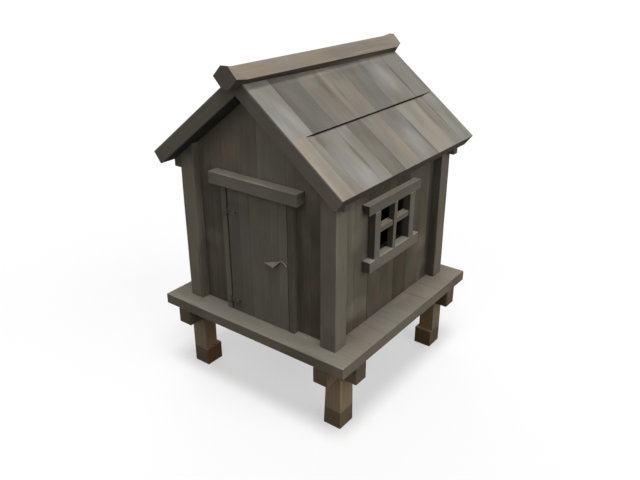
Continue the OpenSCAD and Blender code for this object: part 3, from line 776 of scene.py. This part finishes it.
roofBoards = {
    "lap": 1.064, "lapUnder": 0.07, "step": 0.027, "lapShadow": 0.01, "groove": 0.0022,
    "thick": 0.022, "pastPeak": 0.3, "edgeThick": 0.036, "edgeGap": 0.0002, "dip": 0.002,
    # The upper boards' lower ends and a strip of the lower boards just below them are darkened as
    # painted shadow along the lap
    "grooveWear": -0.3, "stepShadeWear": -0.9, "eaveWear": -0.6, "lapShadowWear": -0.85,
    "bargeTones": {"right": 1.0, "left": 0.92}, "fascia": {"tone": 0.4, "hue": 0.95},
    "soffitThick": 0.022, "soffitWide": 0.24, "soffitShadeTones": [0.085, 0.105, 0.125]}
low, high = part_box("roof_right")
y0, y1 = low.y, high.y
slopeLength = high.x / math.cos(pitch)


def slopeSide(sign):
    # Maps (distance down the slope, y, height off the slope) to one side of the roof
    down, up = math.sin(pitch), math.cos(pitch)
    return placed((sign * up, 0, -down), yWay, (sign * down, 0, up), (0, 0, peak))


def slopePlank(bm, low, high, side, lines, settings):
    # A plank laid on the slope, from corner to corner, with its grain along lines; x runs down
    before = set(bm.faces)
    low, high = Vector(low), Vector(high)
    middle = (low + high) / 2
    verts = addBlock(bm, low, high)
    for vert in verts:  # its upper corners may lie lower, to pass under the row above
        if vert.co.x < middle.x:
            vert.co.z -= settings.get("drops", (0, 0))[vert.co.y > middle.y]
    if "groove" in settings:
        found = []
        for edge in {e for v in verts for e in v.link_edges}:
            way = (edge.verts[0].co - edge.verts[1].co).normalized()
            if abs(way.dot(lines)) > 0.99:
                found.append(edge)
        bevelEdges(bm, found, settings["groove"], 1, roofBoards["grooveWear"])
    if "dirtTo" in settings:  # painted shadow along the step of the row above
        cutAcross(bm, (settings["dirtTo"], 0, 0), xWay, facesSince(bm, before))
    faces = facesSince(bm, before)
    bm.normal_update()
    look = lookOf(bm)
    for face in faces:
        if abs(face.normal.dot(lines)) > 0.9:
            face[look].z = settings.get("endWear", 0)
        elif face.calc_center_median().x < settings.get("dirtTo", -1):
            face[look].z = roofBoards["lapShadowWear"]
    bmesh.ops.transform(bm, matrix=side, verts=list({v for f in faces for v in f.verts}))
    grainFrame(bm, faces, side.to_3x3() @ lines, settings.get("tone", 1), settings.get("hue", 0.5))


def finishSlope(bm, sign, name, timber, replaced=()):
    # The two slopes meet in a mitre over the middle
    sawOff(bm, (0, 0, 0), (-sign, 0, 0))
    finishPiece(bm, name, timbers[timber], replaced=replaced)


for label, sign in (("right", 1), ("left", -1)):
    s = roofBoards
    side = slopeSide(sign)
    bm = newPiece()
    seams, tones, hues = roofRows[label]["upper"]
    ends = [y0] + seams + [y1]
    for k, (tone, hue) in enumerate(zip(tones, hues)):
        # Their lower ends are end grain, darkened near black as painted shadow along the lap
        board = {"groove": s["groove"], "tone": tone, "hue": hue, "endWear": s["stepShadeWear"]}
        slopePlank(bm, (-s["pastPeak"], ends[k], -s["step"]), (s["lap"], ends[k + 1], 0), side,
                   xWay, board)
    seams, tones, hues = roofRows[label]["lower"]
    ends = [y0] + seams + [y1]
    last = len(seams)
    for k, (tone, hue) in enumerate(zip(tones, hues)):
        board = {"groove": s["groove"], "tone": tone, "hue": hue, "endWear": s["eaveWear"]}
        start = s["lap"]
        if 0 < k < last:  # the outermost boards lie flush, the next ones dip on one side
            start -= s["lapUnder"]
            drop = s["step"] + s["dip"]
            board["drops"] = (0 if k == 1 else drop, 0 if k == last - 1 else drop)
            board["dirtTo"] = s["lap"] + s["lapShadow"]
        slopePlank(bm, (start, ends[k], -s["thick"]), (slopeLength, ends[k + 1], 0), side,
                   xWay, board)
    finishSlope(bm, sign, "roof_boards_" + label, "roof", ["roof_" + label])

    # The barge boards on the verges and the fascia along the eave
    bm = newPiece()
    under, top = -roofThick, -s["thick"] - s["edgeGap"]
    inner0, inner1, eave = y0 + s["edgeThick"], y1 - s["edgeThick"], slopeLength - s["edgeThick"]
    for start, stop in ((y0, inner0), (inner1, y1)):
        slopePlank(bm, (-s["pastPeak"], start, under), (slopeLength, stop, top), side, xWay,
                   {"tone": s["bargeTones"][label]})
    slopePlank(bm, (eave, inner0, under), (slopeLength, inner1, top), side, yWay, s["fascia"])
    finishSlope(bm, sign, "barge_boards_" + label, "barge")

    # Soffit boards under the overhang, nearly black as painted shade
    bm = newPiece()
    count = round(eave / s["soffitWide"])
    for k in range(count):
        start = -s["pastPeak"] if k == 0 else eave * k / count
        slopePlank(bm, (start, inner0, under),
                   (eave * (k + 1) / count, inner1, under + s["soffitThick"]), side, yWay,
                   {"groove": s["groove"], "tone": s["soffitShadeTones"][k % 3]})
    finishSlope(bm, sign, "soffit_boards_" + label, "wall")

# Painted shade on the ridge log's underside
ridgeSettings = {"arrisMm": 9, "wear": 0.04, "hewMm": 4, "hewStep": 0.45, "endWear": -0.48,
                 "underShade": -0.7, "tone": 1.12}
timberFromNode("ridge_log", yWay, "ridge", ridgeSettings)
print("roof made")


trimSettings = {"arrisMm": 7, "wear": 0.05, "hewMm": 3, "hewStep": 0.3}
# Painted light on the lintel's top and on its ends
timberFromNode("door_lintel", xWay, "trim",
               dict(trimSettings, tone=1.04, hue=0.3, endWear=0.3, faceLightAndShade=[(zWay, 2.1)]))
# Painted shade on the right jamb's front and on the left jamb's side next to the leaf
for name, tone, frontShade, sideShade in (("door_jamb_left", 0.78, 0, -0.12),
                                        ("door_jamb_right", 0.82, -0.36, 0)):
    timberFromNode(name, zWay, "trim",
                   {"arrisMm": 5, "wear": frontShade, "tone": tone,
                    "faceLightAndShade": [(-yWay, frontShade), (xWay, sideShade)]})

# The leaf's inner face gets painted shade, lighter than the room's
leafSettings = {
    "seams": [-0.303, -0.115, 0.063, 0.222, 0.37], "edgeGroove": 0.003, "innerShade": -0.3,
    "grooves": [0.0012, 0.001, 0.0012, 0.001, 0.001],
    "tones": [0.8, 0.93, 1.06, 1.02, 1.05, 1.1], "hues": [0.5, 0.45, 0.5, 0.45, 0.45, 0.45]}
boardedWall("door_boards", leafSettings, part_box("door_leaf"), -yWay, ["door_leaf"],
            timber="door", body="door")
for name in ("door_ledge_lower", "door_ledge_upper"):
    timberFromNode(name, xWay, "door", {"arrisMm": 4, "wear": 0.06}, "door")
# Painted shade under the pull
timberFromNode("door_handle", xWay, "handle",
               {"arrisMm": 2, "wear": 0.1, "endWear": 0, "underShade": -0.4}, "door")
for name in ("hinge_strap_lower", "hinge_strap_upper", "hinge_pintle_lower",
             "hinge_pintle_upper"):
    frame["nodes"][name].data.materials.clear()
    frame["nodes"][name].data.materials.append(strapIron)

# A forged bolt head, in metres: radius and height of its washer, its rim and its dome
boltSettings = {"insets": [0.068, 0.159], "scales": [0.7, 1.3], "strapThick": 0.006,
                "profile": [(0, 0), (0.016, 0), (0.016, 0.002), (0.012, 0.0025), (0.011, 0.006),
                            (0.007, 0.0095), (0, 0.0105)]}
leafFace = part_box("door_leaf")[0].y
strapFace = leafFace - boltSettings["strapThick"]
hingeX = frame["record"]["behaviour"]["joints"][0]["pos_m"][0]
bm = newPiece()
for name in ("hinge_strap_lower", "hinge_strap_upper"):
    middle = sum(corner.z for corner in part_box(name)) / 2
    for inset, size in zip(boltSettings["insets"], boltSettings["scales"]):
        rim = [bm.verts.new((radius * size, 0, height))
               for radius, height in boltSettings["profile"]]
        wire = [bm.edges.new(pair) for pair in zip(rim, rim[1:])]
        bmesh.ops.spin(bm, geom=rim + wire, cent=(0, 0, 0), axis=zWay, steps=16,
                       angle=math.tau, use_merge=True)
        head = [v for v in bm.verts if not v.tag]
        bmesh.ops.rotate(bm, cent=(0, 0, 0), matrix=Matrix.Rotation(math.pi / 2, 3, "X"),
                         verts=head)
        bmesh.ops.translate(bm, vec=(hingeX + inset, strapFace, middle), verts=head)
        for vert in head:
            vert.tag = True
bmesh.ops.remove_doubles(bm, verts=bm.verts, dist=sameCorner)
finishPiece(bm, "hinge_bolts", boltIron, "door")

# The latch wire: a bent iron rod from the pull towards the leaf's latch edge
latchSettings = {"radius": 0.0045, "path": [(0.392, 1.004), (0.405, 1.034), (0.44, 1.026),
                                            (0.478, 1.0), (0.503, 0.976)], "standsOff": 0.01}
bm = newPiece()
path = [Vector((x, leafFace - latchSettings["standsOff"], deckTop + z))
        for x, z in latchSettings["path"]]
rings = []
for k, point in enumerate(path):
    way = path[min(k + 1, len(path) - 1)] - path[max(k - 1, 0)]
    ring = bmesh.ops.create_circle(bm, segments=8, radius=latchSettings["radius"])["verts"]
    turn = way.to_track_quat("Z", "Y").to_matrix()
    bmesh.ops.rotate(bm, cent=(0, 0, 0), matrix=turn, verts=ring)
    bmesh.ops.translate(bm, vec=point, verts=ring)
    rings.append({e for v in ring for e in v.link_edges})
for start, stop in zip(rings, rings[1:]):
    bmesh.ops.bridge_loops(bm, edges=list(start | stop))
bmesh.ops.holes_fill(bm, edges=list(rings[0] | rings[-1]), sides=0)
finishPiece(bm, "latch_wire", wireIron, "door")
print("door made")


# Painted light on the tops of the window's timbers, and painted shade on their sides that face
# along the wall
windowLightAndShade = [(zWay, 1.9), (-yWay, -0.5), (yWay, -0.4)]
barSettings = {"front": 1.296, "depth": 0.09, "mullion": (-0.063, 0.012), "lean": 0.028,
               "barFront": 1.28, "barBack": 1.186, "bar": (1.312, 1.384), "barRise": 0.01,
               "arrisMm": 4, "wear": 0.05, "tone": 0.93}
s = barSettings
stiles = [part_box("window_stile_" + end) for end in ("front", "back")]
windowSettings = {
    # The head's top gets a stronger painted highlight
    "window_head": {"tone": 0.85, "cut": (-0.72, -0.96, -0.78), "cutUp": 0.1,
                    "faceLightAndShade": [(zWay, 2.9)] + windowLightAndShade[1:]},
    # The sill's painted highlight is left off where the stiles and mullion stand on it
    "window_sill": {"tone": 0.97, "faceLightAndShade": windowLightAndShade, "coveredFrom": s["front"],
                    "covered": [(low.y, high.y) for low, high in stiles]
                    + [(s["mullion"][0] - s["lean"], s["mullion"][1] - s["lean"])]},
    "window_stile_front": {"tone": 0.98, "faceLightAndShade": windowLightAndShade},
    "window_stile_back": {"tone": 0.95, "faceLightAndShade": windowLightAndShade}}
for name, settings in windowSettings.items():
    along = zWay if "stile" in name else yWay
    timberFromNode(name, along, "trim", dict(trimSettings, hue=0.35, **settings))
opening = (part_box("window_stile_front")[1].y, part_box("window_stile_back")[0].y)
heights = (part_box("window_sill")[1].z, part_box("window_head")[0].z)
for name, low, high, along, rise, lean in (
        ("window_mullion", (s["front"] - s["depth"], s["mullion"][0], heights[0]),
         (s["front"], s["mullion"][1], heights[1]), zWay, 0, s["lean"]),
        ("window_bar", (s["barBack"], opening[0], deckTop + s["bar"][0]),
         (s["barFront"], opening[1], deckTop + s["bar"][1]), yWay, s["barRise"], 0)):
    bm = newPiece()
    low, high = Vector(low), Vector(high)
    for vert in addBlock(bm, low, high):
        if vert.co.z < (low.z + high.z) / 2:
            vert.co.y -= lean
        elif vert.co.x < (low.x + high.x) / 2:
            vert.co.z += rise
    bevelEdges(bm, sharpEdges(bm), s["arrisMm"] * mm, 2, s["wear"])
    grainFrame(bm, bm.faces, along, s["tone"])
    bm.normal_update()
    paintFaceShading(bm, windowLightAndShade)
    finishPiece(bm, name, timbers["trim"])
print("window made")


def seenRays(tree):
    # 1 for rays that see the background directly or in a reflection, 0 for light on the object
    rays = addNode(tree, "LightPath", {}).outputs
    direct = addNode(tree, "Math", {
        "operation": "MAXIMUM", 0: rays["Is Camera Ray"], 1: rays["Is Glossy Ray"]})
    return addNode(tree, "Math", {
        "operation": "MAXIMUM", 0: direct, 1: rays["Is Transmission Ray"]})


lightSettings = {
    "sky": "#737373", "skyStrength": 1.0, "floorSeen": "#ebebeb", "floorLit": "#5a5854",
    "floorSize": 150, "floorGlow": 0.5,  # how much the seen floor's shadows are lightened
    # strength, angle in degrees, direction from the house to the lamp
    "topSun": (2.26, 20, (0.12, -0.12, 1.0)), "rightSun": (1.38, 60, (1.0, 0.0, 0.42)),
    "frontSun": (0.47, 50, (0.1, -1.0, 0.7)), "backSun": (0.94, 70, (-0.8, 0.75, 0.4))}

material, tree = newMaterial("studioFloor")
colour = addNode(tree, "Mix", {
    "data_type": "RGBA", 0: seenRays(tree), 6: hexColour(lightSettings["floorLit"]),
    7: hexColour(lightSettings["floorSeen"])})
shader = addNode(tree, "BsdfDiffuse", {"Color": colour.outputs[2]})
glow = addNode(tree, "Emission", {"Strength": 1.0})
share = addNode(tree, "Math", {
    "operation": "MULTIPLY", 0: seenRays(tree), 1: lightSettings["floorGlow"]})
mixed = addNode(tree, "MixShader", {0: share, 1: shader, 2: glow})
addNode(tree, "OutputMaterial", {"Surface": mixed})
bm = bmesh.new()
bmesh.ops.create_grid(bm, x_segments=1, y_segments=1, size=lightSettings["floorSize"])
mesh = bpy.data.meshes.new("studio_floor")
bm.to_mesh(mesh)
bm.free()
mesh.materials.append(material)
floor = bpy.data.objects.new("studio_floor", mesh)
scene.collection.objects.link(floor)

scene.world = bpy.data.worlds.new("studio_world")
scene.world.use_nodes = True
tree = scene.world.node_tree
tree.nodes.clear()
sky = addNode(tree, "Background", {"Color": hexColour(lightSettings["sky"]),
                                   "Strength": lightSettings["skyStrength"]})
white = addNode(tree, "Background", {"Color": (1, 1, 1, 1), "Strength": 1.0})
mixed = addNode(tree, "MixShader", {0: seenRays(tree), 1: sky, 2: white})
addNode(tree, "OutputWorld", {"Surface": mixed})

for name in ("topSun", "rightSun", "frontSun", "backSun"):
    strength, angle, way = lightSettings[name]
    lamp = bpy.data.lights.new(name, "SUN")
    lamp.energy, lamp.angle = strength, math.radians(angle)
    holder = bpy.data.objects.new(name, lamp)
    holder.rotation_euler = Vector(way).to_track_quat("Z", "Y").to_euler()
    scene.collection.objects.link(holder)

cameraSettings = {"place": (5.510, -7.350, 6.147), "yaw": 36.86, "pitch": -24.70,
                  "lens": 38.1, "sensor": 36, "reach": 500}
cameraData = bpy.data.cameras.new("camera")
cameraData.lens = cameraSettings["lens"]
cameraData.sensor_width = cameraSettings["sensor"]
cameraData.clip_end = cameraSettings["reach"]
camera = bpy.data.objects.new("camera", cameraData)
camera.location = cameraSettings["place"]
camera.rotation_euler = (math.radians(90 + cameraSettings["pitch"]), 0,
                         math.radians(cameraSettings["yaw"]))
scene.collection.objects.link(camera)
scene.camera = camera
scene.view_settings.view_transform = "Standard"
print("stage, lights and camera made")
